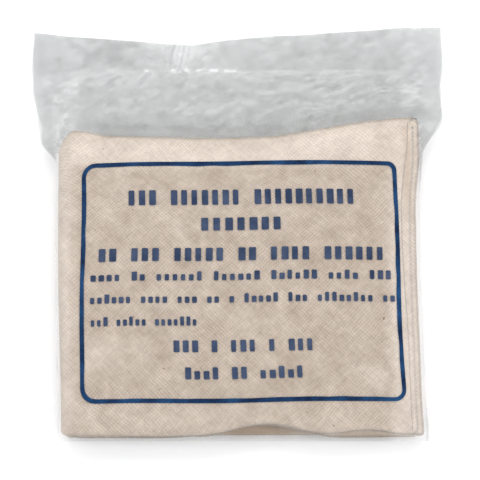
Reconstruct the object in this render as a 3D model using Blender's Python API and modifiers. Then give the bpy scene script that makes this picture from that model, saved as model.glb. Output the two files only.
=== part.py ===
"""Triangular bandage used as an arm sling, folded and packed in a clear poly bag with two safety pins.

The pack lies on its back. X runs across it, +Y towards the bag's open mouth and +Z out of the printed
front. The origin is the middle of the footprint, on the surface that the pack lies on.

The cloth is a right triangle of 1016 x 1016 x 1437 mm. Folded in half and then corners to the middle it is
a 359 mm square of four plies. Folded in three one way it is a strip of twelve plies, 119.7 mm wide, and
the strip is folded in three again: the back panel, the short tucked panel on it and the front panel over
both. Where the tucked panel stops short the fold leaves a pocket, and the two safety pins lie in that.
"""

import math

import bmesh
import bpy
from mathutils import Matrix, Vector

MM = 0.001

# The folded cloth
STRIP_WIDTH = 119.7 * MM  # a third of the square's 359 mm side
PACK_WIDTH = 136.0 * MM
PANEL = 5.2 * MM  # twelve plies lying loosely
PANEL_GAP = 0.4 * MM
TUCKED_LENGTH = 84.0 * MM  # what the two full panels and the two folds leave of the strip
EDGE_ROUND = 2.4 * MM  # of a panel's folded edges
LEFT_DROP = 7.4 * MM  # how much lower the cloth's top edge lies at its left side than at its right
FREE_END_SHORT = 3.0 * MM  # how far the front panel's free end stays inside the pack's right side
NODE_GAP = 0.3 * MM  # between solids that touch on the real object

# The bag, a tube of film closed at the bottom by a weld
FILM = 0.2 * MM
FILM_CLEARANCE = 0.35 * MM  # from the film to the cloth
BAG_LENGTH = 157.0 * MM
HEADER_WIDTH = 155.6 * MM  # where the bag is empty, above the cloth
WELD_LENGTH = 1.6 * MM
CREASE_GAP = 0.19 * MM  # half the gap between the front and back film along their crease
BOTTOM_ROUND = 5.0 * MM  # how far the film takes to turn from the faces to the bottom weld
BOTTOM_POWER = 3.5
FLARE_FROM, FLARE_TO = 27.0 * MM, 46.0 * MM  # where the sides spread from the cloth's width to the header's
HEADER_FROM = 60.0 * MM  # where the film's last straight stretch begins, up to the cut edge
SIDE_STEPS = 8  # columns round a quarter of the bag's section
# How the film rounds down to its side creases: 1 is an ellipse and less is squarer
PACK_ROUND_POWER, HEADER_ROUND_POWER = 0.7, 1.0
# The mouth's cut edge, seen from the front, as (x, y)
LIP = [(-77.8, 76.2), (-18.0, 71.4), (-4.0, 73.6), (63.6, 78.5), (77.8, 78.5)]

# The printed border
BORDER_SIZE = Vector((122.4, 88.6)) * MM
BORDER_CENTRE = Vector((2.6, -19.3)) * MM
BORDER_LINE = 1.9 * MM
BORDER_CORNER = 4.5 * MM
INK = 0.12 * MM

# The safety pins
WIRE = 0.9 * MM
COIL_RADIUS = 2.15 * MM  # to the middle of the wire
COIL_RISE = 1.2 * MM  # from one turn to the next
COIL_ARC = math.radians(290)  # short of a full turn, so that its end stays clear of the leg
PIN_LENGTH = 38.0 * MM
LOWER_PIN_X, UPPER_PIN_X = -31.0 * MM, -52.0 * MM
CLASP_SIZE = Vector((7.6, 9.0, 2.2)) * MM
CLASP_SHEET = 0.32 * MM
CLASP_CORNER = 2.4 * MM
CLASP_EDGE = 0.25 * MM  # rounding of the rim
LEG_SPREAD = 0.45 * MM  # how much further out each leg stands at the clasp than at the coil
NEEDLE_LENGTH = 33.8 * MM  # from the coil's middle to the point
POINT_LENGTH = 5.0 * MM
NEEDLE_BOW = 0.25 * MM

# Levels and edges that follow from the sizes above
PACK_HEIGHT = 3 * PANEL + 2 * PANEL_GAP
PACK_BASE = FILM + FILM_CLEARANCE
MIDDLE = PACK_BASE + PACK_HEIGHT / 2  # the height of the bag's creases and weld
BAG_HALF_HEIGHT = PACK_HEIGHT / 2 + FILM_CLEARANCE + FILM
BAG_BOTTOM = -BAG_LENGTH / 2 + WELD_LENGTH + NODE_GAP
PACK_BOTTOM = BAG_BOTTOM + FILM + 1.0 * MM
PACK_TOP = PACK_BOTTOM + STRIP_WIDTH
NARROW_FOLD_RADIUS = PANEL + PANEL_GAP / 2  # on the right, between the back and tucked panels
WIDE_FOLD_RADIUS = PACK_HEIGHT / 2  # on the left, between the back and front panels, round the pocket
NARROW_FOLD_X = PACK_WIDTH / 2 - NARROW_FOLD_RADIUS
WIDE_FOLD_X = -PACK_WIDTH / 2 + WIDE_FOLD_RADIUS
TUCKED_BASE = PACK_BASE + PANEL + PANEL_GAP
FRONT_BASE = TUCKED_BASE + PANEL + PANEL_GAP
FLAT_HALF_WIDTH = 1.5 * MM - WIDE_FOLD_X  # where the film starts to round over the pack's sides
PACK_HALF_WIDTH = FLAT_HALF_WIDTH + BAG_HALF_HEIGHT - 0.1 * MM
PIN_LEVELS = {"lower": PACK_BASE + PANEL + 1.5 * MM, "upper": FRONT_BASE - 1.5 * MM}
PIN_COIL_Y = PACK_TOP - LEFT_DROP - PIN_LENGTH - 2.6 * MM


def clear_scene():
    for obj in list(bpy.data.objects):
        bpy.data.objects.remove(obj, do_unlink=True)


def collection(name, parent):
    made = bpy.data.collections.new(name)
    parent.children.link(made)
    return made


def material(name, colour, roughness, metallic=0.0, alpha=1.0):
    made = bpy.data.materials.new(name)
    made.use_nodes = True
    shader = made.node_tree.nodes["Principled BSDF"]
    shader.inputs["Base Color"].default_value = (*colour, 1.0)
    shader.inputs["Roughness"].default_value = roughness
    shader.inputs["Metallic"].default_value = metallic
    shader.inputs["Alpha"].default_value = alpha
    return made


def finish(obj, home, surface):
    """Puts a new object in its collection with its material, shaded smooth except at real corners."""
    for held in list(obj.users_collection):
        held.objects.unlink(obj)
    home.objects.link(obj)
    obj.data.materials.clear()
    obj.data.materials.append(surface)
    if obj.type == "MESH":
        obj.data.shade_smooth()
        obj.data.set_sharp_from_angle(angle=math.radians(35))
    return obj


def object_of(name, bm):
    mesh = bpy.data.meshes.new(name)
    bm.to_mesh(mesh)
    bm.free()
    obj = bpy.data.objects.new(name, mesh)
    bpy.context.scene.collection.objects.link(obj)
    return obj


def smoothstep(low, high, value):
    share = min(max((value - low) / (high - low), 0.0), 1.0)
    return share * share * (3 - 2 * share)


# ---------------------------------------------------------------- the cloth


def slope_top(bm):
    """Lowers the top edge towards the left, since the strip isn't folded quite square."""
    for vert in bm.verts:
        if vert.co.y > (PACK_BOTTOM + PACK_TOP) / 2:
            vert.co.y -= LEFT_DROP * (0.5 - vert.co.x / PACK_WIDTH)


def panel(name, x_from, x_to, base, free_end):
    """One folded third of the cloth: a slab whose top and bottom folds are round, and its free end too."""
    bm = bmesh.new()
    bmesh.ops.create_cube(bm, size=1.0)
    size = Vector((x_to - x_from, STRIP_WIDTH, PANEL))
    centre = Vector(((x_from + x_to) / 2, (PACK_BOTTOM + PACK_TOP) / 2, base + PANEL / 2))
    bmesh.ops.scale(bm, vec=size, verts=bm.verts)
    bmesh.ops.translate(bm, vec=centre, verts=bm.verts)
    rounded = []
    for edge in bm.edges:
        along = (edge.verts[1].co - edge.verts[0].co).normalized()
        middle_x = (edge.verts[0].co.x + edge.verts[1].co.x) / 2
        free = free_end is not None and abs(middle_x - free_end) < MM
        if abs(along.x) > 0.9 or (abs(along.y) > 0.9 and free):
            rounded.append(edge)
    bmesh.ops.bevel(bm, geom=rounded, offset=EDGE_ROUND, segments=5, profile=0.5, affect="EDGES")
    slope_top(bm)
    return object_of(name, bm)


def fold(name, x, z, outer_radius, side):
    """The cloth turning back on itself at one side of the pack: half a turn of the panel's own section."""
    bm = bmesh.new()
    bmesh.ops.create_grid(bm, x_segments=1, y_segments=1, size=0.5)
    middle = Vector((0.0, (PACK_BOTTOM + PACK_TOP) / 2, outer_radius - PANEL / 2))
    for vert in bm.verts:
        vert.co = middle + Vector((0.0, vert.co.y * STRIP_WIDTH, vert.co.x * PANEL))
    bmesh.ops.bevel(bm, geom=bm.verts[:], offset=EDGE_ROUND, segments=5, profile=0.5, affect="VERTICES")
    bmesh.ops.spin(
        bm,
        geom=bm.verts[:] + bm.edges[:] + bm.faces[:],
        cent=(0, 0, 0),
        axis=(0, 1, 0),
        angle=math.pi * side,
        steps=12,
        use_duplicate=False,
    )
    bmesh.ops.recalc_face_normals(bm, faces=bm.faces)
    bmesh.ops.translate(bm, vec=Vector((x, 0, z)), verts=bm.verts)
    slope_top(bm)
    return object_of(name, bm)


def build_bandage(home, cloth):
    left, right = WIDE_FOLD_X + NODE_GAP, NARROW_FOLD_X - NODE_GAP
    free_front = PACK_WIDTH / 2 - FREE_END_SHORT
    free_tucked = NARROW_FOLD_X - TUCKED_LENGTH
    finish(panel("bandage_back_panel", left, right, PACK_BASE, None), home, cloth)
    finish(panel("bandage_tucked_panel", free_tucked, right, TUCKED_BASE, free_tucked), home, cloth)
    finish(panel("bandage_front_panel", left, free_front, FRONT_BASE, free_front), home, cloth)
    narrow_z = PACK_BASE + NARROW_FOLD_RADIUS
    finish(fold("bandage_narrow_fold", NARROW_FOLD_X, narrow_z, NARROW_FOLD_RADIUS, 1), home, cloth)
    finish(fold("bandage_wide_fold", WIDE_FOLD_X, MIDDLE, WIDE_FOLD_RADIUS, -1), home, cloth)


# ---------------------------------------------------------------- the bag


def lip_y(x):
    """How far the cut edge of the mouth reaches at x."""
    ends = [Vector(p) * MM for p in LIP]
    for low, high in zip(ends, ends[1:]):
        if x <= high.x:
            share = max((x - low.x) / (high.x - low.x), 0.0)
            return low.y + (high.y - low.y) * share
    return ends[-1].y


def film_rows():
    """Distances up the bag from the bottom weld to the mouth, close together where the film turns."""
    turning = [BAG_BOTTOM + BOTTOM_ROUND * (1 - math.cos(math.radians(15 * i))) for i in range(7)]
    flaring = [FLARE_FROM + (FLARE_TO - FLARE_FROM) * i / 6 for i in range(7)]
    straight = [turning[-1] + (flaring[0] - turning[-1]) * share for share in (0.35, 0.7)]
    return turning + straight + flaring + [HEADER_FROM, BAG_LENGTH / 2]


def film_columns():
    """(side, share of the flat, angle round the side) from the left crease to the right one."""
    angles = [math.radians(90 * i / SIDE_STEPS) for i in range(SIDE_STEPS + 1)]
    left = [(-1, 1.0, angle) for angle in angles]
    flat = [(1, share, math.pi / 2) for share in (-0.5, 0.0, 0.5)]
    right = [(1, 1.0, angle) for angle in reversed(angles)]
    return left + flat + right


def film_point(row, column, facing):
    """A point on the outside of the film. facing is 1 for the front and -1 for the back."""
    side, share, angle = column
    y = row
    flare = smoothstep(FLARE_FROM, FLARE_TO, y)
    half_width = PACK_HALF_WIDTH + (HEADER_WIDTH / 2 - PACK_HALF_WIDTH) * flare
    power = PACK_ROUND_POWER + (HEADER_ROUND_POWER - PACK_ROUND_POWER) * flare
    reach = max(1 - (y - BAG_BOTTOM) / BOTTOM_ROUND, 0.0)
    half_height = BAG_HALF_HEIGHT * (1 - reach**BOTTOM_POWER) ** (1 / BOTTOM_POWER)
    half_height = max(half_height, CREASE_GAP + FILM)
    beyond = (half_width - FLAT_HALF_WIDTH) * max(math.cos(angle), 0.0) ** power
    x = side * (FLAT_HALF_WIDTH * share + beyond)
    above = max(half_height * math.sin(angle) ** power, CREASE_GAP)
    if row > HEADER_FROM:  # the last row lies along the cut edge
        y = lip_y(x)
    return Vector((x, y, MIDDLE + facing * above))


def film_panel(name, facing):
    """The front or back half of the bag's film, as far as the creases at its sides."""
    rows, columns = film_rows(), film_columns()
    bm = bmesh.new()
    made = [[bm.verts.new(film_point(row, column, facing)) for column in columns] for row in rows]
    for low, high in zip(made, made[1:]):
        for i in range(len(columns) - 1):
            corners = [low[i], low[i + 1], high[i + 1], high[i]]
            bm.faces.new(corners if facing > 0 else corners[::-1])
    obj = object_of(name, bm)
    wall = obj.modifiers.new("film", "SOLIDIFY")
    wall.thickness = FILM
    wall.offset = -1
    return obj


def bottom_weld():
    bpy.ops.mesh.primitive_cube_add(size=1.0)
    obj = bpy.context.object
    obj.name = "bag_bottom_weld"
    width = 2 * PACK_HALF_WIDTH - 1 * MM
    obj.data.transform(Matrix.Diagonal((width, WELD_LENGTH, 2 * FILM, 1.0)))
    obj.location = (0, -BAG_LENGTH / 2 + WELD_LENGTH / 2, MIDDLE)
    return obj


def rounded_rectangle(curve, size, corner):
    """Adds a closed outline with round corners to a 2D curve."""
    steps = 6
    points = []
    for quarter in range(4):
        start = math.pi / 2 * quarter
        turn = Vector((math.cos(start + math.pi / 4), math.sin(start + math.pi / 4)))
        centre = Vector(
            (
                math.copysign(size.x / 2 - corner, turn.x),
                math.copysign(size.y / 2 - corner, turn.y),
            )
        )
        for i in range(steps + 1):
            angle = start + math.pi / 2 * i / steps
            points.append(centre + Vector((math.cos(angle), math.sin(angle))) * corner)
    spline = curve.splines.new("POLY")
    spline.points.add(len(points) - 1)
    for point, place in zip(spline.points, points):
        point.co = (place.x, place.y, 0, 1)
    spline.use_cyclic_u = True


def printed_border():
    """The ink border round the front's print."""
    curve = bpy.data.curves.new("printed_border", "CURVE")
    curve.dimensions = "2D"
    curve.fill_mode = "BOTH"
    curve.extrude = INK / 2
    inner = BORDER_SIZE - Vector((BORDER_LINE, BORDER_LINE)) * 2
    rounded_rectangle(curve, BORDER_SIZE, BORDER_CORNER)
    rounded_rectangle(curve, inner, BORDER_CORNER - BORDER_LINE)
    obj = bpy.data.objects.new("printed_border", curve)
    bpy.context.scene.collection.objects.link(obj)
    top = MIDDLE + BAG_HALF_HEIGHT
    obj.location = (BORDER_CENTRE.x, BORDER_CENTRE.y, top + NODE_GAP + INK / 2)
    return obj


def build_bag(home, film, ink):
    finish(film_panel("bag_front_film", 1), home, film)
    finish(film_panel("bag_back_film", -1), home, film)
    finish(bottom_weld(), home, film)
    finish(printed_border(), home, ink)


# ---------------------------------------------------------------- the safety pins


def wire(name, points, radii):
    """A round wire along the points."""
    curve = bpy.data.curves.new(name, "CURVE")
    curve.dimensions = "3D"
    curve.bevel_depth = WIRE / 2
    curve.bevel_resolution = 2
    curve.use_fill_caps = True
    spline = curve.splines.new("POLY")
    spline.points.add(len(points) - 1)
    for point, place, radius in zip(spline.points, points, radii):
        point.co = (*place, 1)
        point.radius = radius
    obj = bpy.data.objects.new(name, curve)
    bpy.context.scene.collection.objects.link(obj)
    return obj


def coil_turn(level, start):
    """Almost one turn of wire round the pin's hinge axis, anticlockwise from start."""
    steps = 20
    angles = [start + COIL_ARC * i / steps for i in range(steps + 1)]
    return [Vector((math.cos(a) * COIL_RADIUS, math.sin(a) * COIL_RADIUS, level)) for a in angles]


def leg(side, level, length):
    """Points up one leg, from the coil's own level to the pin's middle plane inside the clasp."""
    steps = 8
    points = []
    for i in range(1, steps + 1):
        share = i / steps
        settle = smoothstep(0.0, 0.7, share)
        bow = NEEDLE_BOW * math.sin(math.pi * share) if side > 0 else 0.0
        x = side * (COIL_RADIUS + LEG_SPREAD * share + bow)
        points.append(Vector((x, length * share, level * (1 - settle))))
    return points


def back_wire(name):
    """The pin's fixed leg and the coil's lower turn, which it runs into."""
    level = -COIL_RISE / 2
    points = list(reversed(leg(-1, level, PIN_LENGTH - COIL_RADIUS - 2.4 * MM)))
    points += coil_turn(level, math.pi)
    return wire(name, points, [1.0] * len(points))


def needle(name):
    """The coil's upper turn and the sharp leg that leaves it. It turns about the coil's axis."""
    level = COIL_RISE / 2
    points = coil_turn(level, math.tau - COIL_ARC) + leg(1, level, NEEDLE_LENGTH)
    radii = [min(1.0, max(0.12, (NEEDLE_LENGTH - p.y) / POINT_LENGTH)) for p in points]
    before_point = points[-1] + (points[-2] - points[-1]).normalized() * POINT_LENGTH
    points.insert(-1, before_point)
    radii.insert(-1, 1.0)
    return wire(name, points, radii)


def plate(name, size, corner, place):
    """A flat plate with round corners, made a mesh so that it can be cut."""
    curve = bpy.data.curves.new(name, "CURVE")
    curve.dimensions = "2D"
    curve.fill_mode = "BOTH"
    curve.extrude = size.z / 2
    rounded_rectangle(curve, size.xy, corner)
    outline = bpy.data.objects.new(name + "_outline", curve)
    bpy.context.scene.collection.objects.link(outline)
    outline.location = place
    bpy.context.view_layer.update()
    graph = bpy.context.evaluated_depsgraph_get()
    mesh = bpy.data.meshes.new_from_object(outline.evaluated_get(graph))
    bm = bmesh.new()
    bm.from_mesh(mesh)
    bmesh.ops.remove_doubles(bm, verts=bm.verts, dist=1e-6)
    bm.to_mesh(mesh)
    bm.free()
    obj = bpy.data.objects.new(name, mesh)
    bpy.context.scene.collection.objects.link(obj)
    obj.matrix_world = outline.matrix_world
    bpy.data.objects.remove(outline)
    return obj


def clasp(name, cutters):
    """The sheet-metal head: two plates joined over the top and down the back leg's side."""
    top = PIN_LENGTH - COIL_RADIUS
    centre_y = top - CLASP_SIZE.y / 2
    shell = plate(name, CLASP_SIZE, CLASP_CORNER, Vector((-0.2 * MM, centre_y, 0)))
    reach = 4.0 * MM  # how far the cutter runs out past the open side and the open bottom
    inside = Vector(
        (
            CLASP_SIZE.x - CLASP_SHEET * 2 + reach,
            CLASP_SIZE.y - CLASP_SHEET * 2 + reach,
            CLASP_SIZE.z - CLASP_SHEET * 2,
        )
    )
    place = Vector((-0.2 * MM + reach / 2 + CLASP_SHEET, centre_y - reach / 2 - CLASP_SHEET, 0))
    cutter = plate(name + "_cutter", inside, CLASP_CORNER - CLASP_SHEET, place)
    for held in list(cutter.users_collection):
        held.objects.unlink(cutter)
    cutters.objects.link(cutter)
    cutter.hide_render = True
    cutter.display_type = "WIRE"
    rim = shell.modifiers.new("rim", "BEVEL")
    rim.width = CLASP_EDGE
    rim.segments = 2
    rim.limit_method = "ANGLE"
    rim.angle_limit = math.radians(60)
    hollow = shell.modifiers.new("hollow", "BOOLEAN")
    hollow.operation = "DIFFERENCE"
    hollow.object = cutter
    return shell, cutter


def build_pin(position, x, turned, home, cutters, steel):
    """One safety pin, lying flat. turned puts its needle on the left instead of the right."""
    axis = bpy.data.objects.new(position + "_pin_axis", None)
    home.objects.link(axis)
    axis.location = (x, PIN_COIL_Y, PIN_LEVELS[position])
    axis.rotation_euler.y = math.pi if turned else 0.0
    name = position + "_pin_"
    pieces = [finish(back_wire(name + "back_wire"), home, steel)]
    pieces.append(finish(needle(name + "needle"), home, steel))
    shell, cutter = clasp(name + "clasp", cutters)
    pieces += [finish(shell, home, steel), cutter]
    for piece in pieces:
        piece.parent = axis


def main():
    clear_scene()
    root = bpy.context.scene.collection
    home = collection("packed_triangular_bandage", root)
    cutters = collection("cutters", root)
    cloth = material("muslin", (0.78, 0.69, 0.60), 0.95)
    film = material("clear_film", (0.86, 0.88, 0.88), 0.15, alpha=0.3)
    ink = material("blue_ink", (0.035, 0.09, 0.24), 0.5)
    steel = material("nickel_plated_steel", (0.72, 0.71, 0.69), 0.25, metallic=1.0)
    build_bandage(home, cloth)
    build_bag(home, film, ink)
    build_pin("lower", LOWER_PIN_X, True, home, cutters, steel)
    build_pin("upper", UPPER_PIN_X, False, home, cutters, steel)


main()
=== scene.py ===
"""A folded muslin triangular bandage in its clear poly bag, with two safety pins in the fold."""

import math

import bpy
import numpy as np
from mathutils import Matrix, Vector


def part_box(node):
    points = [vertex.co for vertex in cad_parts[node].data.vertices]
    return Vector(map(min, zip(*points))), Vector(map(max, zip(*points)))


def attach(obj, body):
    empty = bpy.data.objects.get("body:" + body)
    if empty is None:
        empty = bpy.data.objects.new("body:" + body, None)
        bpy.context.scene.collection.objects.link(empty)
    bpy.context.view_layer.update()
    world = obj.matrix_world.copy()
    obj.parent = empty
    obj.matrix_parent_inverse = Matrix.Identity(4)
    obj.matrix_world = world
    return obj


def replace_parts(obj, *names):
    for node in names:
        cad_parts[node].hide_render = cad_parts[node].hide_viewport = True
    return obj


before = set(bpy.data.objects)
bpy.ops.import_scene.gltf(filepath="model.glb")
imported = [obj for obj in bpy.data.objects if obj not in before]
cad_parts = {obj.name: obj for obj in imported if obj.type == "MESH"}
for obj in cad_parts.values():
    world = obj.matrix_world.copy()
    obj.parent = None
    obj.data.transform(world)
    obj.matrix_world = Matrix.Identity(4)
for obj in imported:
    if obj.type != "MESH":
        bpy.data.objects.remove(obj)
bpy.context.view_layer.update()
MM = 0.001

# The cloth's cut: a right triangle with legs of 40 inches, folded about the middle of its long side
LEG = 1.016
HALF_SPAN = LEG / math.sqrt(2)  # from the middle of the long side to any of the three corners
SQUARE = HALF_SPAN / 2  # the side of the square that the corners fold into
PLIES = 36

# Levels and edges of the folded cloth, the bag and the print, from the CAD
NARROW_LOW, NARROW_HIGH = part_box("bandage_narrow_fold")
BORDER_LOW, BORDER_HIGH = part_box("printed_border")
WELD_LOW, WELD_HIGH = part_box("bag_bottom_weld")
FILM_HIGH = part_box("bag_front_film")[1]
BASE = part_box("bandage_back_panel")[0].z
PLY = (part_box("bandage_front_panel")[1].z - BASE) / PLIES  # the thickness of one ply
PANEL = PLIES // 3  # the plies of the strip, and so of each of the pack's three panels
PACK_BOTTOM, PACK_TOP = NARROW_LOW.y, NARROW_HIGH.y
WIDE_X, NARROW_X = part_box("bandage_wide_fold")[1].x, NARROW_LOW.x  # where the two side folds begin
PRINT_LEFT, PRINT_TOP = BORDER_LOW.x, BORDER_HIGH.y
PRINT_WIDTH, PRINT_HEIGHT = BORDER_HIGH.x - BORDER_LOW.x, BORDER_HIGH.y - BORDER_LOW.y
MIDDLE = (WELD_LOW.z + WELD_HIGH.z) / 2  # the height at which the bag's two films meet


# ---------------------------------------------------------------- noise

TABLE = 64  # cells along each side of a table of random values, after which the noise repeats
SKEW = 0.366  # leans a square grid into one of nearly even triangles
SMOOTH_START, FACET_START = (17.3, 9.1), (31.7, 23.9)  # the place in the table that the origin gets


def table_values(seed):
    """A square table of random values between -1 and 1."""
    return np.random.default_rng(seed).uniform(-1, 1, (TABLE, TABLE))


def at_cell(table, i, j):
    """The table's value at a cell, beyond the table's edges too."""
    return table[i % TABLE, j % TABLE]


def smooth_noise(x, y, scale, seed):
    """Rounded random waves between -1 and 1, about scale metres from crest to crest."""
    table = table_values(seed)
    u, v = np.asarray(x) / scale + SMOOTH_START[0], np.asarray(y) / scale + SMOOTH_START[1]
    i, j = np.floor(u).astype(int), np.floor(v).astype(int)
    fu, fv = u - i, v - j
    fu, fv = fu * fu * (3 - 2 * fu), fv * fv * (3 - 2 * fv)
    low = at_cell(table, i, j) * (1 - fu) + at_cell(table, i + 1, j) * fu
    high = at_cell(table, i, j + 1) * (1 - fu) + at_cell(table, i + 1, j + 1) * fu
    return low * (1 - fv) + high * fv


def facets(x, y, scale, seed, turn=0.0, stretch=1.0):
    """Random flat facets that meet in sharp creases, between -1 and 1. They can be drawn out along turn."""
    c, s = math.cos(turn), math.sin(turn)
    along, across = x * c + y * s, (y * c - x * s) * stretch
    along = along + smooth_noise(x, y, scale * 1.7, seed + 1) * scale * 0.6
    across = across + smooth_noise(x, y, scale * 1.3, seed + 2) * scale * 0.6
    table = table_values(seed)
    skew = (along + across) * SKEW
    u, v = (along + skew) / scale + FACET_START[0], (across + skew) / scale + FACET_START[1]
    i, j = np.floor(u).astype(int), np.floor(v).astype(int)
    fu, fv = u - i, v - j
    h00, h11 = at_cell(table, i, j), at_cell(table, i + 1, j + 1)
    h10, h01 = at_cell(table, i + 1, j), at_cell(table, i, j + 1)
    lower = h00 * (1 - fu) + h10 * (fu - fv) + h11 * fv
    upper = h00 * (1 - fv) + h01 * (fv - fu) + h11 * fu
    return np.where(fu > fv, lower, upper)


def smoothstep(low, high, value):
    """0 below low, 1 above high, with a smooth rise between them."""
    share = np.clip((np.asarray(value) - low) / (high - low), 0, 1)
    return share * share * (3 - 2 * share)


def bump(centre, half_width, value):
    """1 at centre, falling smoothly to 0 at half_width from it."""
    return 1 - smoothstep(0, half_width, np.abs(value - centre))


# ---------------------------------------------------------------- meshes


def mesh_object(name, points, faces, uv=None):
    """A smooth mesh in the scene. uv gives each point its place on the flat cloth."""
    mesh = bpy.data.meshes.new(name)
    mesh.from_pydata(np.asarray(points).tolist(), [], faces)
    if uv is not None:
        layer = mesh.uv_layers.new(name="thread")
        corner = np.zeros(len(mesh.loops), dtype=np.int32)
        mesh.loops.foreach_get("vertex_index", corner)
        layer.data.foreach_set("uv", np.asarray(uv)[corner].ravel())
    mesh.shade_smooth()
    obj = bpy.data.objects.new(name, mesh)
    bpy.context.scene.collection.objects.link(obj)
    return obj


def grid_faces(rows, columns):
    """The four-sided faces between the points of a grid, which are listed row by row."""
    faces = []
    for r in range(rows - 1):
        for c in range(columns - 1):
            a = r * columns + c
            faces.append((a, a + 1, a + columns + 1, a + columns))
    return faces


# ---------------------------------------------------------------- materials


class Nodes:
    """A short way to write a node tree."""

    def __init__(self, name):
        self.material = bpy.data.materials.new(name)
        self.material.use_nodes = True
        self.tree = self.material.node_tree
        self.shader = self.tree.nodes["Principled BSDF"]

    def add(self, kind, **settings):
        """A new node with some of its settings changed."""
        node = self.tree.nodes.new(kind)
        for key, value in settings.items():
            setattr(node, key, value)
        return node

    def link(self, source, target):
        self.tree.links.new(source, target)

    def math(self, operation, a, b=None, clamp=False):
        """A sum, product or other operation on sockets or plain numbers."""
        node = self.add("ShaderNodeMath", operation=operation, use_clamp=clamp)
        for socket, value in zip(node.inputs, (a, b)):
            if value is None:
                continue
            if isinstance(value, (int, float)):
                socket.default_value = value
            else:
                self.link(value, socket)
        return node.outputs[0]

    def noise(self, place, waves, detail=2.0, roughness=0.5):
        """Noise with so many waves to the metre along each axis of place."""
        mapping = self.add("ShaderNodeMapping")
        mapping.inputs["Scale"].default_value = waves
        self.link(place, mapping.inputs["Vector"])
        node = self.add("ShaderNodeTexNoise")
        node.inputs["Scale"].default_value = 1.0
        node.inputs["Detail"].default_value = detail
        node.inputs["Roughness"].default_value = roughness
        self.link(mapping.outputs["Vector"], node.inputs["Vector"])
        return node.outputs["Fac"]

    def ramp(self, value, *stops):
        """Colours by value. Each stop is a position from 0 to 1 and its colour."""
        node = self.add("ShaderNodeValToRGB")
        while len(node.color_ramp.elements) < len(stops):
            node.color_ramp.elements.new(0.5)
        for element, (place, colour) in zip(node.color_ramp.elements, stops):
            element.position = place
            element.color = (*colour, 1.0)
        self.link(value, node.inputs["Fac"])
        return node.outputs["Color"]

    def mix(self, kind, factor, a, b):
        """Two colours mixed or multiplied. Each input is a socket, a number or a colour."""
        node = self.add("ShaderNodeMix", data_type="RGBA", blend_type=kind)
        for socket, value in zip((node.inputs[0], node.inputs[6], node.inputs[7]), (factor, a, b)):
            if isinstance(value, (int, float)):
                socket.default_value = value
            elif isinstance(value, tuple):
                socket.default_value = (*value, 1.0)
            else:
                self.link(value, socket)
        return node.outputs[2]

    def bump(self, height, strength, distance):
        """Bends the shading as if the surface rose by distance where height is 1."""
        node = self.add("ShaderNodeBump")
        node.inputs["Strength"].default_value = strength
        node.inputs["Distance"].default_value = distance
        self.link(height, node.inputs["Height"])
        self.link(node.outputs["Normal"], self.shader.inputs["Normal"])


THREAD = 1.05 * MM  # from one thread to the next
SHADE_TAN = (0.36, 0.235, 0.12)  # a brown tan for the painted shade of the fold at the strip's end and of the bottom's gaps


def thread_wave(m, place, wander):
    """A wave with half a turn to each thread, whose threads aren't quite evenly spaced."""
    turns = m.math("MULTIPLY", place, math.pi / THREAD)
    return m.math("SINE", m.math("ADD", turns, m.math("MULTIPLY", wander, 4.5)))


def weave(m, uv):
    """The height of the weave: warp and weft, each over the other in turn, with uneven threads."""
    slub_u = m.noise(uv, (420, 30, 1))
    slub_v = m.noise(uv, (30, 420, 1))
    split = m.add("ShaderNodeSeparateXYZ")
    m.link(uv, split.inputs[0])
    wave_u = thread_wave(m, split.outputs[0], slub_v)
    wave_v = thread_wave(m, split.outputs[1], slub_u)
    warp = m.math("MULTIPLY", m.math("ABSOLUTE", wave_u), m.math("ADD", slub_u, 0.5))
    weft = m.math("MULTIPLY", m.math("ABSOLUTE", wave_v), m.math("ADD", slub_v, 0.5))
    leaning = m.math("MULTIPLY", m.noise(uv, (45, 45, 1), detail=1.0), 1.6)
    crossing = m.math("MULTIPLY", m.math("MULTIPLY", wave_u, wave_v), 1.6)
    over = m.math("ADD", crossing, m.math("SUBTRACT", leaning, 0.3), clamp=True)
    under = m.math("SUBTRACT", 1.0, over)
    return m.math("ADD", m.math("MULTIPLY", warp, over), m.math("MULTIPLY", weft, under))


def thread_colour_and_shade(m, uv, height):
    """Paler on top of a thread and browner between threads, as painted light on the crowns and painted shade
    in the hollows, more plainly so in some places than in others.
    """
    gap, flank, crown = (0.40, 0.305, 0.23), (0.575, 0.475, 0.385), (0.675, 0.575, 0.49)
    # Painted shade in the gaps between threads, painted light on their crowns
    woven = m.ramp(height, (0.05, gap), (0.45, flank), (0.95, crown))
    blurred = m.ramp(m.noise(uv, (38, 38, 1), detail=3.0), (0.42, (0.25,) * 3), (0.62, (0.75,) * 3))
    return m.mix("MIX", blurred, woven, (0.56, 0.465, 0.378))


def unevenness(m, uv):
    """Soft blotches, and streaks along the threads both ways, to multiply the muslin's colour by."""
    blotch = m.ramp(m.noise(uv, (110, 110, 1), detail=4.0, roughness=0.7),
                    (0.3, (0.73, 0.69, 0.65)), (0.7, (1.0, 1.0, 1.0)))
    streaks = m.math("ADD", m.noise(uv, (900, 210, 1)), m.noise(uv, (210, 900, 1)))
    streaked = m.ramp(m.math("MULTIPLY", streaks, 0.5),
                      (0.40, (0.89, 0.875, 0.85)), (0.60, (1.07, 1.06, 1.04)))
    return blotch, streaked


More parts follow.
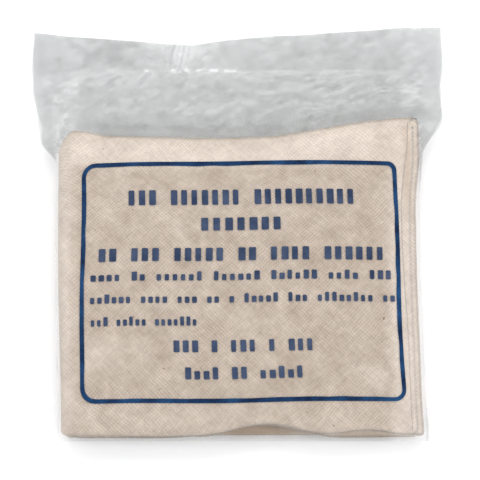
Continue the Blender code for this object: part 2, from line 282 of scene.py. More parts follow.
def muslin_material():
    """Unbleached plain weave, drawn along the threads of the flat cloth."""
    m = Nodes("unbleached_muslin")
    uv = m.add("ShaderNodeUVMap", uv_map="thread").outputs["UV"]
    height = weave(m, uv)
    blotch, streaked = unevenness(m, uv)
    tinted = m.mix("MULTIPLY", 1.0, thread_colour_and_shade(m, uv, height), blotch)
    tinted = m.mix("MULTIPLY", 1.0, tinted, streaked)
    # Painted shade: the cloth is tinted brown tan along a fold's shadow at the strip's end and in the shaded
    # gaps of the bottom
    painted_shade = m.add("ShaderNodeAttribute", attribute_name="painted_shade").outputs["Fac"]
    tinted = m.mix("MIX", painted_shade, tinted, SHADE_TAN)
    speck = m.ramp(m.noise(uv, (330, 330, 1), detail=1.0),
                   (0.19, (0.42, 0.28, 0.17)), (0.23, (1.0, 1.0, 1.0)))
    m.link(m.mix("MULTIPLY", 1.0, tinted, speck), m.shader.inputs["Base Color"])
    fibre = m.noise(uv, (1500, 1500, 1))
    m.bump(m.math("ADD", height, m.math("MULTIPLY", fibre, 0.25)), 0.5, 0.25 * MM)
    m.shader.inputs["Roughness"].default_value = 0.92
    m.shader.inputs["Specular IOR Level"].default_value = 0.2
    m.shader.inputs["Sheen Weight"].default_value = 0.15
    return m.material


def film_material(name, alpha, clear):
    """Clear polyethylene: slightly hazy, glossy and finely crinkled. Its colour follows a point attribute:
    white along its creases, partly real crease whitening and partly painted highlight, paler where sheen and
    glints are painted, darker where shade is painted.
    """
    m = Nodes(name)
    place = m.add("ShaderNodeTexCoord").outputs["Object"]
    crinkle = m.noise(place, (160, 160, 160), detail=4.0, roughness=0.6)
    ripple = m.noise(place, (900, 260, 900))
    m.bump(m.math("ADD", crinkle, m.math("MULTIPLY", ripple, 0.05)), 0.4, 0.9 * MM)
    m.link(m.ramp(crinkle, (0.3, (0.14,) * 3), (0.7, (0.3,) * 3)), m.shader.inputs["Roughness"])
    crease_and_painted_light = m.add("ShaderNodeAttribute", attribute_name="crease_and_painted_light").outputs["Fac"]
    whiter = m.math("ADD", crease_and_painted_light, m.math("MULTIPLY", m.math("SUBTRACT", crinkle, 0.5), 0.55), clamp=True)
    # The ramp runs from painted shade through the clear film to white creases and painted highlights
    shaded, white = tuple(0.5 * part for part in clear), (0.98,) * 3
    m.link(m.ramp(whiter, (0.0, shaded), (0.1, clear), (0.9, white)), m.shader.inputs["Base Color"])
    m.shader.inputs["Alpha"].default_value = alpha
    m.shader.inputs["IOR"].default_value = 1.6
    m.shader.inputs["Specular IOR Level"].default_value = 0.6
    m.material.surface_render_method = "BLENDED"
    return m.material


def ink_material(name, dark, light):
    """Print ink, a little thinner in places."""
    m = Nodes(name)
    place = m.add("ShaderNodeTexCoord").outputs["Object"]
    patches = m.noise(place, (110, 110, 110), detail=4.0, roughness=0.6)
    m.link(m.ramp(patches, (0.35, dark), (0.7, light)), m.shader.inputs["Base Color"])
    m.bump(patches, 0.2, 0.05 * MM)
    m.shader.inputs["Roughness"].default_value = 0.7
    m.shader.inputs["Specular IOR Level"].default_value = 0.12
    return m.material


def steel_material():
    """Bright nickel plate with fine drawing lines."""
    m = Nodes("nickel_plated_steel")
    place = m.add("ShaderNodeTexCoord").outputs["Object"]
    lines = m.noise(place, (9000, 700, 9000), detail=3.0)
    m.link(m.ramp(lines, (0.3, (0.60, 0.58, 0.55)), (0.7, (0.76, 0.75, 0.73))), m.shader.inputs["Base Color"])
    m.link(m.ramp(lines, (0.3, (0.16,) * 3), (0.7, (0.34,) * 3)), m.shader.inputs["Roughness"])
    m.bump(lines, 0.15, 0.02 * MM)
    m.shader.inputs["Metallic"].default_value = 1.0
    return m.material


# ---------------------------------------------------------------- the folded cloth

STRAIGHT = PACK_TOP - PACK_BOTTOM - 10 * PLY  # the strip's flat width between its two long folds
TOP_CREASE = 124.6 * MM  # along the square, where the strip's upper fold begins
FRONT_END = 62.5 * MM  # where the top plies of the front panel end, on the right
WIDE_MIDDLE, NARROW_MIDDLE = 14 * PLY, 8 * PLY  # the radius that keeps its length in each side fold
BUNDLE = 4  # the plies that slide together in a side fold
WIDE_SLIDE, NARROW_SLIDE = 0.34, 0.35  # how much of its own extra length each bundle slides
FRONT_REACH = FRONT_END - WIDE_X + math.pi * (WIDE_MIDDLE + WIDE_SLIDE * (16 * PLY - WIDE_MIDDLE))


def bundled(height):
    """The height of the middle of the bundle of plies at this height."""
    ply = height / PLY
    nearest = np.floor(ply / BUNDLE + 0.5) * BUNDLE
    return PLY * (nearest - BUNDLE / 2 + BUNDLE * smoothstep(nearest - 0.5, nearest + 0.5, ply))


def fold_over(place, height, line, axis, middle, side, slide=0.35):
    """Turns the stack beyond a line up and over the rest.

    axis is the height of the fold's centre, and middle the radius at which the cloth keeps its length.
    """
    beyond = side * (place - line)
    radius = axis - height
    in_bundles = axis > 2 * BUNDLE * PLY
    sliding = axis - bundled(height) if in_bundles else radius
    length = math.pi * np.maximum(middle + slide * (sliding - middle), 0.2 * PLY)
    turn = np.clip(beyond / length, 0, 1) * math.pi
    turned = line + side * (radius * np.sin(turn) - np.maximum(beyond - length, 0))
    folded = beyond > 0
    return np.where(folded, turned, place), np.where(folded, axis - radius * np.cos(turn), height)


def crease_lines():
    """Grid lines across the flat cloth, closer together where it folds, the same from either end."""
    fine, coarse = 1.15 * MM, 4.2 * MM
    wide = SQUARE - FRONT_REACH
    narrow = wide - (NARROW_X - WIDE_X)
    bottom = TOP_CREASE + STRAIGHT
    folds = [(0, 3 * MM), (TOP_CREASE - 10 * MM, TOP_CREASE + MM), (bottom - MM, bottom + 7 * MM),
             (narrow - 14 * MM, narrow + MM), (wide - MM, wide + 23 * MM), (SQUARE - 3 * MM, SQUARE)]
    half, place = [0.0], 0.0
    while place < SQUARE:
        folding = any(low - coarse < place < high for low, high in folds)
        place += fine if folding else coarse
        half.append(place)
    half = np.array(half) * SQUARE / half[-1]
    return np.concatenate([half, (HALF_SPAN - half[:-1])[::-1]])


def flat_cloth():
    """Points (along the altitude, along the long side) and faces of the flat triangle."""
    lines = crease_lines()
    last = len(lines) - 1
    index, points, faces = {}, [], []
    for i in range(last + 1):
        for j in range(i - last, last - i + 1):
            index[i, j] = len(points)
            points.append((lines[i], math.copysign(lines[abs(j)], j)))
    for i in range(last):
        for j in range(i - last, last - i):
            corners = ((i, j), (i + 1, j), (i + 1, j + 1), (i, j + 1))
            faces.append(tuple(index[c] for c in corners if c in index))
    return np.array(points), faces


SUNK = 0.3 * MM  # how far the front face lies below its height in the CAD


def swell(x, y):
    """The low waves of the front face."""
    return 0.35 * MM * smooth_noise(x, y, 46 * MM, seed=5)


def squashed(plies, x):
    """How far so many plies of the front panel are pressed down towards the right."""
    return plies * PLY * 0.42 * smoothstep(46 * MM, 68 * MM, x)


def sway(y):
    """How far the pack leans over to the right, towards its bottom."""
    return 1.7 * MM * (1 - smoothstep(PACK_BOTTOM - 3 * MM, 0, y))


def right_spread(y, corner):
    """How much further the pack's right side reaches near the top, and by corner near the bottom."""
    bottom = 1 - smoothstep(PACK_BOTTOM, PACK_BOTTOM + 16 * MM, y)
    return 1.5 * MM * smoothstep(10 * MM, 30 * MM, y) + corner * bottom


def top_drop(x):
    """How much lower the pack's top edge lies than at its right corner."""
    corner = 1 - smoothstep(-69 * MM, -60.5 * MM, x)
    dip = 0.9 * MM * smooth_noise(x, 0 * x, 33 * MM, seed=10)
    peak = 2.0 * MM * bump(-61 * MM, 15 * MM, x)
    return 8.0 * MM * (1 - smoothstep(8 * MM, 64 * MM, x)) + 5.5 * MM * corner**2 - peak + dip


def dome(x, y):
    """How far the front face falls away near the edges of the pack."""
    top = PACK_TOP - top_drop(x)
    above = smoothstep(top - 17 * MM, top + 3 * MM, y)
    below = 1 - smoothstep(PACK_BOTTOM - 2 * MM, PACK_BOTTOM + 20 * MM, y)
    sides = smoothstep(52 * MM, 72 * MM, np.abs(x))
    window = bump(-66 * MM, 9 * MM, x) * bump(-37 * MM, 8 * MM, y)
    wrinkles = 0.7 * MM * window * (facets(x, y, 3.4 * MM, seed=43, turn=0.9, stretch=1.6) + 0.6)
    return 2.3 * MM * above + 1.7 * MM * below + 0.5 * MM * sides + wrinkles


def slump(x, y, ply):
    """How far each point of the pack rises along its wavy bottom and drops along its slanted top."""
    bottom = 1 - smoothstep(0, 26 * MM, y - PACK_BOTTOM)
    top = smoothstep(-8 * MM, PACK_TOP, y)
    front_panel = smoothstep(2 * PANEL - 0.6, 2 * PANEL + 0.6, ply)
    tucked_panel = smoothstep(PANEL - 0.6, PANEL + 0.6, ply) * (1 - front_panel)
    waves = 0.9 * MM * smooth_noise(x, ply * 3 * MM, 24 * MM, seed=7) - 1.3 * MM
    front_lift = 4.0 * MM * bump(9 * MM, 24 * MM, x) + 1.6 * MM * bump(46 * MM, 15 * MM, x)
    tucked_lift = 6.4 * MM * bump(9 * MM, 26 * MM, x)
    lift = front_panel * front_lift + tucked_panel * tucked_lift
    return bottom * (waves + lift) - top * top_drop(x)


def slide(x, y, ply):
    """How far each point of the pack moves to the right."""
    left = 1 - smoothstep(-68 * MM, -40 * MM, x)
    ripple = left * 0.3 * MM * smooth_noise(y, ply * 0.6 * MM, 30 * MM, seed=9)
    lower = 0.2 + 0.8 * smoothstep(0, 10, ply)
    spread = lower * smoothstep(25 * MM, 62 * MM, x) * right_spread(y, 0.6 * MM)
    top_plies = smoothstep(PLIES - BUNDLE - 0.5, PLIES - BUNDLE + 0.5, ply)
    waist = smoothstep(-45 * MM, 5 * MM, y) * (1 - smoothstep(20 * MM, 42 * MM, y))
    drawn_in = 1.3 * MM * waist * smoothstep(20 * MM, 60 * MM, x) * top_plies
    return sway(y) + ripple + spread - drawn_in


def cloth_warp(x, y, ply):
    """Small slumps and waves of the folded pack. Gives the new x and y, and how much z rises."""
    new_x, new_y = x + slide(x, y, ply), y + slump(x, y, ply)
    above = ply - 2 * PANEL
    rise = swell(x, y) + 0.14 * MM * smooth_noise(x, y, 17 * MM, seed=6)
    front = np.clip(above / PANEL, 0, 1) * (rise - SUNK - dome(new_x, new_y))
    return new_x, new_y, front - squashed(np.maximum(above, 0), new_x)


def painted_fold_shade(x, y, ply):
    """How much painted shade the cloth gets, in a brown tan: a fold's shadow as a streak across the strip's
    end, and the shaded plies in the bottom's gaps.
    """
    front = 2 * PANEL
    streak = bump(64.2 * MM, 2.6 * MM, x) * bump(22 * MM, 26 * MM, y) * smoothstep(front, front + 3, ply)
    gaps = bump(7 * MM, 27 * MM, x) + 0.7 * bump(46 * MM, 14 * MM, x)
    gaps = gaps * (1 - smoothstep(PACK_BOTTOM + 2 * MM, PACK_BOTTOM + 9 * MM, y))
    gaps = gaps * (1 - smoothstep(front - 2, front, ply))
    return np.clip(0.6 * streak + 0.9 * gaps, 0, 0.9)


def folded_strip(altitude, span):
    """The triangle folded in half and to a square, and the square in thirds to a strip."""
    height = np.full(len(altitude), PLY / 2)
    across, height = fold_over(span, height, line=0.0, axis=PLY, middle=0.5 * PLY, side=-1)
    along, height = fold_over(altitude, height, line=SQUARE, axis=2 * PLY, middle=PLY, side=1)
    across, height = fold_over(across, height, line=SQUARE, axis=2 * PLY, middle=PLY, side=1)
    bottom_crease = TOP_CREASE + STRAIGHT
    across, height = fold_over(across, height, bottom_crease, axis=4 * PLY, middle=4 * PLY, side=1)
    across, height = fold_over(across, height, TOP_CREASE, axis=6 * PLY, middle=7 * PLY, side=-1)
    return along, across, height


def build_cloth():
    """The flat triangle carried through all its folds, and then slumped."""
    points, faces = flat_cloth()
    altitude, span = points[:, 0], points[:, 1]
    along, across, height = folded_strip(altitude, span)
    y = PACK_TOP - 6 * PLY - (across - TOP_CREASE)
    x = WIDE_X - FRONT_REACH + (SQUARE - along)
    x, height = fold_over(x, height, NARROW_X, PANEL * PLY, NARROW_MIDDLE, 1, NARROW_SLIDE)
    x, height = fold_over(x, height, WIDE_X, 1.5 * PANEL * PLY, WIDE_MIDDLE, -1, WIDE_SLIDE)
    ply = height / PLY
    x, y, z_shift = cloth_warp(x, y, ply)
    z = BASE + height + z_shift
    thread = np.stack([altitude + span, altitude - span], 1) / math.sqrt(2)
    cloth = mesh_object("bandage_cloth", np.stack([x, y, z], 1), faces, thread)
    # The painted shade of the fold and the bottom's gaps, kept on each point
    painted_shade = cloth.data.attributes.new("painted_shade", "FLOAT", "POINT")
    painted_shade.data.foreach_set("value", painted_fold_shade(x, y, ply))
    cloth.data.materials.append(muslin_material())
    return cloth


cloth = build_cloth()
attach(cloth, "bandage")
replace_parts(cloth, *[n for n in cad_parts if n.startswith("bandage_")])


# ---------------------------------------------------------------- the bag

FLAT_HALF_WIDTH = -WIDE_X + 0.6 * MM  # where the film starts to round over the pack's sides
HALF_HEIGHT = FILM_HIGH.z - MIDDLE - 0.1 * MM  # from the height where the films meet to the top
HEADER_HALF_WIDTH = FILM_HIGH.x + 0.2 * MM
PACK_HALF_WIDTH = FLAT_HALF_WIDTH + HALF_HEIGHT - 0.2 * MM  # with the rounded side
LEFT_FLARE = (25.5 * MM, 35.5 * MM)  # from and to this height the left side widens into the header
RIGHT_FLARE = (29.5 * MM, 46.0 * MM)
BOTTOM_ROUND = 5.0 * MM
FILM_BOTTOM = WELD_LOW.y + 0.25 * MM  # where the film meets the bottom weld
PRESSED_Y = FILM_HIGH.y - 18.0 * MM  # the pressed line across the header
PLEATS = (-22.2 * MM, -18.4 * MM)  # where the slanted pleats meet the lip
SLANT = 0.22  # how far a pleat moves to the left for each step down from the lip
LIP_SPLIT = 1.9 * MM  # how far the front lip lies below, and the back lip above, their common line
LIP_X = np.array([-78, -18, -4, 64, 78]) * MM
LIP_Y = FILM_HIGH.y + np.array([-1.6, -6.4, -4.2, 0.7, 0.7]) * MM


def lip_y(x):
    """The height of the mouth's cut edge."""
    return np.interp(x, LIP_X, LIP_Y) + 0.25 * MM * smooth_noise(x, 0 * x, 9 * MM, seed=21)


def crumple(x, y):
    """How far the empty film of the header stands off its smooth shape."""
    left = facets(x, y, 12 * MM, seed=31, turn=0.4, stretch=1.6)
    left = left + 0.6 * facets(x, y, 4.6 * MM, seed=32, turn=0.7, stretch=1.5)
    right = facets(x, y, 14 * MM, seed=33, turn=0.45, stretch=2.8)
    right = right + 0.65 * facets(x, y, 6.0 * MM, seed=34, turn=0.4, stretch=3.0)
    share = smoothstep(-10 * MM, 25 * MM, x)
    return left * (1 - share) + right * share + 0.4 * facets(x, y, 2.6 * MM, seed=35, turn=0.3, stretch=1.5)


def pleats(x, below_lip):
    """Slanted pleats and upright puckers where the lip dips."""
    slanted = sum(bump(pleat - SLANT * below_lip, 2.3 * MM, x) for pleat in PLEATS)
    slanted = 0.7 * MM * slanted * (1 - smoothstep(9 * MM, 19 * MM, below_lip))
    window = bump(-20 * MM, 20 * MM, x) * smoothstep(2 * MM, 5 * MM, below_lip)
    window = window * (1 - smoothstep(14 * MM, 22 * MM, below_lip))
    return slanted + 0.45 * MM * window * (facets(x, 0.25 * below_lip, 3.2 * MM, seed=36) + 1)


def header_rise(x, y):
    """How far the front film of the header stands above its smooth shape."""
    below_lip = lip_y(x) - y
    band = smoothstep(PRESSED_Y - 3.5 * MM, PRESSED_Y + 1.0 * MM, y)
    rough = 0.45 * MM * (crumple(x, y) + 1.3) * (1 - 0.75 * band)
    line = bump(PRESSED_Y, 1.2 * MM, y) * (0.5 + 0.5 * smooth_noise(x, 0 * x, 12 * MM, seed=39))
    return rough - 0.2 * MM * line + pleats(x, below_lip) + 0.5 * MM


def film_front_z(x, y):
    """The front film over the pack and the header, away from the rounded sides and bottom."""
    top_ply = BASE + (PLIES - 0.5) * PLY - SUNK + swell(x - sway(y), y) - dome(x, y)
    top_ply = top_ply - squashed(PANEL - 0.5, x)
    over_cloth = top_ply + 0.42 * MM + 0.12 * MM * facets(x, y, 9 * MM, seed=41)
    in_header = FILM_HIGH.z - 0.3 * MM + header_rise(x, y)
    top = PACK_TOP - top_drop(x)
    share = smoothstep(top - 4 * MM, top + 7 * MM, y)
    return over_cloth * (1 - share) + in_header * share


def half_width(y, side):
    """How far the bag reaches to one side."""
    low = np.where(side < 0, LEFT_FLARE[0], RIGHT_FLARE[0])
    high = np.where(side < 0, LEFT_FLARE[1], RIGHT_FLARE[1])
    flare = smoothstep(low, high, y)
    spread = HEADER_HALF_WIDTH - PACK_HALF_WIDTH
    taper = np.where(side < 0, 3.4 * MM, 1.0 * MM) * (1 - smoothstep(high, high + 22 * MM, y)) * flare
    right = (side > 0) * right_spread(y, 1.0 * MM) * (1 - smoothstep(40 * MM, 56 * MM, y))
    return PACK_HALF_WIDTH + spread * flare - taper + right


def bottom_height(y):
    """The share of the bag's half height at y, falling to 0 where the film meets its bottom weld."""
    reach = np.clip(1 - (y - FILM_BOTTOM) / BOTTOM_ROUND, 0, 1)
    return (1 - reach**5) ** (1 / 5)


def film_row(y, angle, share, facing):
    """One row of film points across the bag, rounded over its sides and pressed to its weld."""
    side = np.sign(share)
    header = smoothstep(22 * MM, 40 * MM, y)
    power = 0.7 + 0.3 * header
    beyond = (half_width(y, side) - FLAT_HALF_WIDTH) * np.clip(np.cos(angle), 0, 1) ** power
    x = share * FLAT_HALF_WIDTH + side * beyond + sway(y)
    tall = np.sin(angle) ** power * bottom_height(y)
    if facing > 0:
        z = MIDDLE + np.maximum((film_front_z(x, y) - MIDDLE) * tall, 0.05 * MM)
    else:
        low = 0.12 * MM + 0.25 * MM * (facets(x, y, 4 * MM, seed=51) + 1) * header
        z = MIDDLE + np.minimum((low - MIDDLE) * tall, -0.05 * MM)
    x = x + side * np.cos(angle) * (0.25 + 0.35 * header) * MM * facets(y, z, 7 * MM, seed=52 + facing)
    return np.stack([x, y, z], 1)


FLAT_COLUMNS, SIDE_COLUMNS = 170, 12  # columns of film points over the front, and round each side
BOTTOM_ROWS, HEADER_ROWS = 9, 74  # rows of film points round the bottom, and in the header


def film_columns():
    """The angle round the side and the share of the flat width for each column of film points."""
    flat = np.linspace(-1, 1, FLAT_COLUMNS)
    side = np.radians(np.linspace(0, 90, SIDE_COLUMNS + 1))[:-1]
    angle = np.concatenate([side, np.full(len(flat), math.pi / 2), side[::-1]])
    share = np.concatenate([np.full(len(side), -1.0), flat, np.full(len(side), 1.0)])
    return angle, share


def film_rows(columns, lip):
    """Distances up the bag for each row of film points, from the bottom weld to the cut edge."""
    weld = np.array([WELD_LOW.y, FILM_BOTTOM - 0.05 * MM])
    turning = FILM_BOTTOM + BOTTOM_ROUND * (1 - np.cos(np.radians(np.linspace(0, 90, BOTTOM_ROWS))))
    body = np.arange(turning[-1] + 1.5 * MM, 26 * MM, 1.6 * MM)
    rows = [np.full(columns, y) for y in np.concatenate([weld, turning, body])]
    start = body[-1] + 0.9 * MM
    rows += [start + (lip - start) * share for share in np.linspace(0, 1, HEADER_ROWS)]
    return np.array(rows)


def crease_share(grid):
    """How sharply the film bends at each point of the grid, from 0 to 1."""
    z = np.pad(grid[:, :, 2], 1, mode="edge")
    around = (z[:-2, 1:-1] + z[2:, 1:-1] + z[1:-1, :-2] + z[1:-1, 2:]) / 4
    return 0.45 * np.clip(np.abs(z[1:-1, 1:-1] - around) / (0.16 * MM) - 0.1, 0, 1)


def lip_glints_and_shade(grid):
    """Painted glints along the pressed line, and the painted lit and shaded sides of the pleats at the lip's
    dip.
    """
    x, y = grid[:, :, 0], grid[:, :, 1]
    below_lip = lip_y(x) - y
    glints = bump(PRESSED_Y, 1.0 * MM, y) * smoothstep(0.0, 0.4, bump(-18 * MM, 28 * MM, x))
    glints = glints * smoothstep(-0.1, 0.4, smooth_noise(x, 0 * x, 1.6 * MM, seed=37))
    upright = smooth_noise(x + SLANT * below_lip, 0 * x, 4 * MM, seed=40)
    pale = 0.16 * bump(-19 * MM, 20 * MM, x) * smoothstep(-0.3, 0.6, upright)
    dark = 0.22 * sum(bump(pleat - MM - SLANT * below_lip, 1.1 * MM, x) for pleat in PLEATS)
    return 0.7 * glints + (pale - dark) * (1 - smoothstep(8 * MM, 14 * MM, below_lip))


def shade(grid):
    """The dark line just above the cloth's top edge, the darker right part and the band at the left."""
    x, y = grid[:, :, 0], grid[:, :, 1]
    above = y - PACK_TOP + top_drop(x)
    along = smoothstep(-60 * MM, -50 * MM, x) * (1 - smoothstep(0, 30 * MM, x))
    line = bump(2.6 * MM, 2.4 * MM, above) * along
    right = smoothstep(-40 * MM, 40 * MM, x)
    left = 1 - smoothstep(-45 * MM, -25 * MM, x)
    band = smoothstep(PRESSED_Y - 2 * MM, PRESSED_Y + 3 * MM, y) * left
    return 0.14 * line + 0.05 * right + 0.08 * band


def haze_and_sheen(grid):
    """Painted sheen and haze: the film is painted paler where it stands a little off the cloth, outside the
    print and in two patches on it, in place of its reflections there, with a random mottle.
    """
    x, y = grid[:, :, 0], grid[:, :, 1]
    top = smoothstep(PRINT_TOP - 3 * MM, PRINT_TOP + 3 * MM, y)
    right = smoothstep(54 * MM, 62 * MM, x)
    left = 1 - smoothstep(-66 * MM, -58 * MM, x)
    low = 0.15 * (1 - smoothstep(-68 * MM, -62 * MM, y))
    patches = bump(-50 * MM, 13 * MM, x) * bump(-47 * MM, 9 * MM, y)
    patches = patches + bump(52 * MM, 12 * MM, x) * bump(-55 * MM, 9 * MM, y)
    mottle = 0.12 * (facets(x, y, 8 * MM, seed=42) + 1)
    return np.maximum.reduce([top, right, 0.8 * left, low, 0.5 * patches]) * 0.85 + mottle


def whiteness(grid, facing):
    """How white the film is at each point of the grid, from 0 to 1: its creases, partly real whitening and
    partly painted highlight, held back at the bottom's rounding where shade falls; painted sheen over the
    cloth; painted shade; and painted glints at the lip.
    """
    x, y = grid[:, :, 0], grid[:, :, 1]
    below_top = PACK_TOP - top_drop(x) - y
    over_pack = smoothstep(0.3 * MM, 2.5 * MM, below_top) * (np.abs(x - sway(y)) < 68.6 * MM)
    # Less crease whitening near the bottom weld, so the bottom's rounding stays darker as painted shade
    off_bottom = 0.25 + 0.75 * smoothstep(FILM_BOTTOM + 2 * MM, FILM_BOTTOM + 11 * MM, y)
    white = 0.15 + crease_share(grid) * off_bottom + over_pack * haze_and_sheen(grid) - shade(grid)
    if facing > 0:
        white = white + lip_glints_and_shade(grid)
    return np.clip(white, 0, 1)


def beside_cloth(grid):
    """Which faces of the grid lie above the cloth's top edge or outside its sides."""
    centre = (grid[:-1, :-1] + grid[1:, 1:]) / 2
    x, y = centre[:, :, 0], centre[:, :, 1]
    above = y > PACK_TOP - top_drop(x) - 0.6 * MM
    return above | (np.abs(x - sway(y)) > PACK_HALF_WIDTH + 0.8 * MM)


def film_sheet(name, facing, looks):
    """The front or back half of the bag. Beside the cloth, its film has the second of the looks."""
    angle, share = film_columns()
    reach = share * FLAT_HALF_WIDTH + np.sign(share) * (HEADER_HALF_WIDTH - FLAT_HALF_WIDTH) * np.cos(angle)
    lip = lip_y(reach) - facing * LIP_SPLIT * np.sin(angle)
    grid = np.array([film_row(y, angle, share, facing) for y in film_rows(len(angle), lip)])
    obj = mesh_object(name, grid.reshape(-1, 3), grid_faces(*grid.shape[:2]))
    # Crease whitening with painted highlights, sheen, glints and shade, kept on each point
    crease_and_painted_light = obj.data.attributes.new("crease_and_painted_light", "FLOAT", "POINT")
    crease_and_painted_light.data.foreach_set("value", whiteness(grid, facing).ravel())
    for look in looks:
        obj.data.materials.append(look)
    obj.data.polygons.foreach_set("material_index", beside_cloth(grid).astype(np.int32).ravel())
    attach(obj, "bag")
    return obj


looks = (film_material("clinging_film", alpha=0.17, clear=(0.25,) * 3),
         film_material("header_film", alpha=0.35, clear=(0.305, 0.32, 0.308)))
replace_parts(film_sheet("bag_front", 1, looks), "bag_front_film", "bag_bottom_weld")
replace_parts(film_sheet("bag_back", -1, looks), "bag_back_film")


# ---------------------------------------------------------------- the print

INK_LIFT = 0.08 * MM  # how far the ink stands off the film
LINE = 1.62 * MM  # the width of the border's line
WORD_GAP = 1.1  # the gap between two words, in steps from one mark to the next
TALLER = 1.45  # how much taller than the rest the tall marks of a mixed row are

# Rows of the print, in mm: depth of the middle below the border's top, from and to along its width, height
# of a mark, whether every fourth mark or so stands taller, and how many marks each word has
ROWS = [
    (13.4, 18.1, 106.8, 5.5, False, (3, 7, 10)),
    (23.3, 46.1, 78.6, 4.7, False, (7,)),
    (34.4, 6.9, 117.5, 4.8, False, (2, 3, 5, 2, 4, 6)),
    (42.8, 4.0, 119.8, 2.3, True, (4, 2, 6, 6, 6, 4, 3)),
    (51.0, 4.0, 121.0, 2.3, True, (6, 4, 3, 2, 1, 5, 3, 8, 2)),
    (59.3, 4.3, 45.4, 2.3, True, (3, 5, 7)),
    (68.0, 35.5, 89.6, 4.3, False, (3, 1, 3, 1, 3)),
    (78.5, 39.6, 85.2, 3.0, True, (4, 2, 5)),
]


def border_bend(x, y):
    """The printed sheet isn't quite square to the pack: its right side leans out towards the bottom."""
    along, down = (x - PRINT_LEFT) / PRINT_WIDTH, (PRINT_TOP - y) / PRINT_HEIGHT
    x = x + (2.9 * np.clip(down, 0, 1) ** 1.5 - 3.8) * MM * along + 0.25 * MM * np.sin(down * 8.0 - along)
    y = y + 1.4 * MM * np.sin(np.clip(along / 0.6, 0, 1) * math.pi / 2) * (1 - down)
    y = y - 1.4 * MM * (1 - along) * down + 0.2 * MM * np.sin(along * 11.0)
    return x, y


def printed(name, outlines, look):
    """Flat ink shapes laid on the front film. Each outline is an outer and an inner ring of (x, y).

    The space in the inner ring is filled too, except in the border.
    """
    points, faces = [], []
    for outer, inner in outlines:
        start, count = len(points), len(outer)
        points += list(outer) + list(inner)
        for i in range(count):
            j = (i + 1) % count
            faces.append((start + i, start + j, start + count + j, start + count + i))
        if np.ptp(np.array(inner)[:, 0]) < PRINT_WIDTH / 2:
            faces.append(tuple(start + count + i for i in range(count)))
    flat = np.array(points)
    x, y = border_bend(flat[:, 0], flat[:, 1])
    obj = mesh_object(name, np.stack([x, y, film_front_z(x, y) + INK_LIFT], 1), faces)
    obj.data.materials.append(look)
    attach(obj, "bag")
    return obj


def rounded_ring(left, bottom, width, height, corners, steps=6):
    """Points round a rectangle with round corners, anticlockwise from the top right corner."""
    ring = []
    for quarter, corner in enumerate(corners):
        start = math.pi / 2 * quarter
        turn = start + math.pi / 4
        cx = left + width / 2 + math.copysign(width / 2 - corner, math.cos(turn))
        cy = bottom + height / 2 + math.copysign(height / 2 - corner, math.sin(turn))
        for i in range(steps + 1):
            angle = start + math.pi / 2 * i / steps
            ring.append((cx + corner * math.cos(angle), cy + corner * math.sin(angle)))
    return ring


def along_ring(ring, spacing):
    """The ring with extra points on its long sides."""
    closed = ring + ring[:1]
    full = []
    for (x0, y0), (x1, y1) in zip(closed, closed[1:]):
        count = max(1, round(math.hypot(x1 - x0, y1 - y0) / spacing))
        full += [(x0 + (x1 - x0) * i / count, y0 + (y1 - y0) * i / count) for i in range(count)]
    return full


def border_rings():
    """The border's line: a rectangle with round corners, and the same a line's width further in."""
    corners = (3.4 * MM, 5.6 * MM, 5.6 * MM, 4.4 * MM)
    outer = rounded_ring(PRINT_LEFT, BORDER_LOW.y, PRINT_WIDTH, PRINT_HEIGHT, corners)
    ring = np.array(along_ring(outer, 1.6 * MM))
    centre = np.array([PRINT_LEFT + PRINT_WIDTH / 2, BORDER_LOW.y + PRINT_HEIGHT / 2])
    step = np.roll(ring, -1, 0) - np.roll(ring, 1, 0)
    inward = np.stack([-step[:, 1], step[:, 0]], 1) / np.linalg.norm(step, axis=1)[:, None]
    wander = 0.12 * smooth_noise(ring[:, 0], ring[:, 1], 6 * MM, seed=61)
    inner = ring + inward * (LINE * (1 + wander))[:, None]
    return [(ring.tolist(), inner.tolist())]


def word_marks():
    """Rows of plain marks where the real print has words."""
    marks = []
    rng = np.random.default_rng(71)
    for depth, low, high, tall, mixed, words in ROWS:
        pitch = (high - low) / (sum(words) + (len(words) - 1) * WORD_GAP)
        bottom = PRINT_TOP - (depth + tall / 2) * MM
        x = low
        for count in words:
            for _ in range(count):
                width = pitch * rng.uniform(0.52, 0.68)
                height = tall * (TALLER if mixed and rng.uniform() < 0.28 else 1.0)
                marks.append(mark(PRINT_LEFT + x * MM, bottom, width * MM, height * MM))
                x += pitch
            x += pitch * WORD_GAP
    return marks


def mark(left, bottom, width, height):
    """One plain block with round corners: its edge and a ring just inside it."""
    inset, corner = 0.2 * MM, 0.35 * MM
    outer = rounded_ring(left, bottom, width, height, (corner,) * 4, steps=2)
    inner_width, inner_height = width - 2 * inset, height - 2 * inset
    inner = rounded_ring(left + inset, bottom + inset, inner_width, inner_height, (0.15 * MM,) * 4, steps=2)
    return outer, inner


border_ink = ink_material("border_ink", dark=(0.001, 0.010, 0.040), light=(0.012, 0.058, 0.150))
border = printed("print_border", border_rings(), border_ink)
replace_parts(border, "printed_border")
text_ink = ink_material("text_ink", dark=(0.020, 0.034, 0.072), light=(0.058, 0.080, 0.140))
printed("print_marks", word_marks(), text_ink)


# ---------------------------------------------------------------- the safety pins

steel = steel_material()
for name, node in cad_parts.items():
    if "_pin_" in name:
        node.data.materials[0] = steel


# ---------------------------------------------------------------- floor, light and camera


FLOOR_SIZE = 5.0
FLOOR_Z = -0.05 * MM
CAMERA_TARGET = Vector((0.95, -3.4, 14.0)) * MM
CAMERA_DISTANCE = 0.751
CAMERA_ELEVATION = math.radians(83)


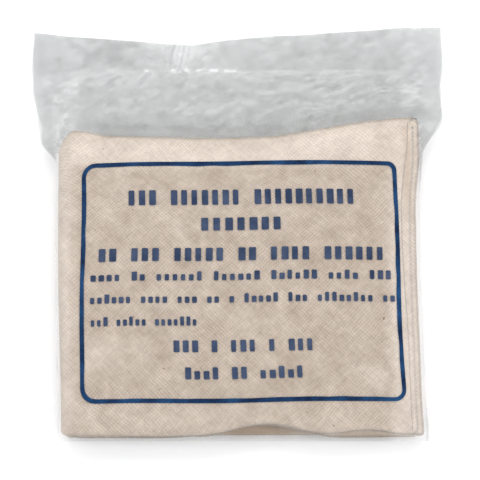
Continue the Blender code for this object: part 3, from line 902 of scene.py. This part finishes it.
def build_floor():
    """A plain pale floor just under the bag."""
    steps = 24
    places = [(step / steps - 0.5) * FLOOR_SIZE for step in range(steps + 1)]
    points = [(x, y, FLOOR_Z) for y in places for x in places]
    floor = mesh_object("floor", points, grid_faces(steps + 1, steps + 1))
    m = Nodes("pale_floor")
    place = m.add("ShaderNodeTexCoord").outputs["Object"]
    grain = m.noise(place, (40, 40, 40), detail=3.0)
    m.link(m.ramp(grain, (0.3, (0.90,) * 3), (0.7, (0.92,) * 3)), m.shader.inputs["Base Color"])
    m.shader.inputs["Roughness"].default_value = 0.8
    floor.data.materials.append(m.material)


def area_light(name, place, size, power):
    """A softbox that faces the origin."""
    light = bpy.data.lights.new(name, "AREA")
    light.shape = "RECTANGLE"
    light.size, light.size_y = size
    light.energy = power
    obj = bpy.data.objects.new(name, light)
    bpy.context.scene.collection.objects.link(obj)
    obj.location = place
    obj.rotation_euler = (-Vector(place)).to_track_quat("-Z", "Y").to_euler()


def build_light():
    """An even pale surrounding with four softboxes above it."""
    world = bpy.data.worlds.new("studio")
    world.use_nodes = True
    world.node_tree.nodes["Background"].inputs["Color"].default_value = (0.95, 0.97, 1.0, 1.0)
    world.node_tree.nodes["Background"].inputs["Strength"].default_value = 0.69
    bpy.context.scene.world = world
    area_light("top_softbox", (-0.08, 0.52, 0.80), (0.7, 0.3), 3.6)
    area_light("left_softbox", (-0.60, 0.05, 0.70), (0.3, 0.5), 1.6)
    area_light("right_softbox", (0.60, -0.05, 0.75), (0.3, 0.5), 2.8)
    area_light("near_softbox", (0.05, -0.55, 0.85), (0.6, 0.4), 1.4)
    bpy.context.scene.view_settings.view_transform = "Standard"


def build_camera():
    """Nearly straight above, a little towards the bag's bottom."""
    data = bpy.data.cameras.new("camera")
    data.lens = 150
    camera = bpy.data.objects.new("camera", data)
    bpy.context.scene.collection.objects.link(camera)
    back = Vector((0, -math.cos(CAMERA_ELEVATION), math.sin(CAMERA_ELEVATION)))
    camera.location = CAMERA_TARGET + back * CAMERA_DISTANCE
    camera.rotation_euler = (-back).to_track_quat("-Z", "Y").to_euler()
    bpy.context.scene.camera = camera


build_floor()
build_light()
build_camera()
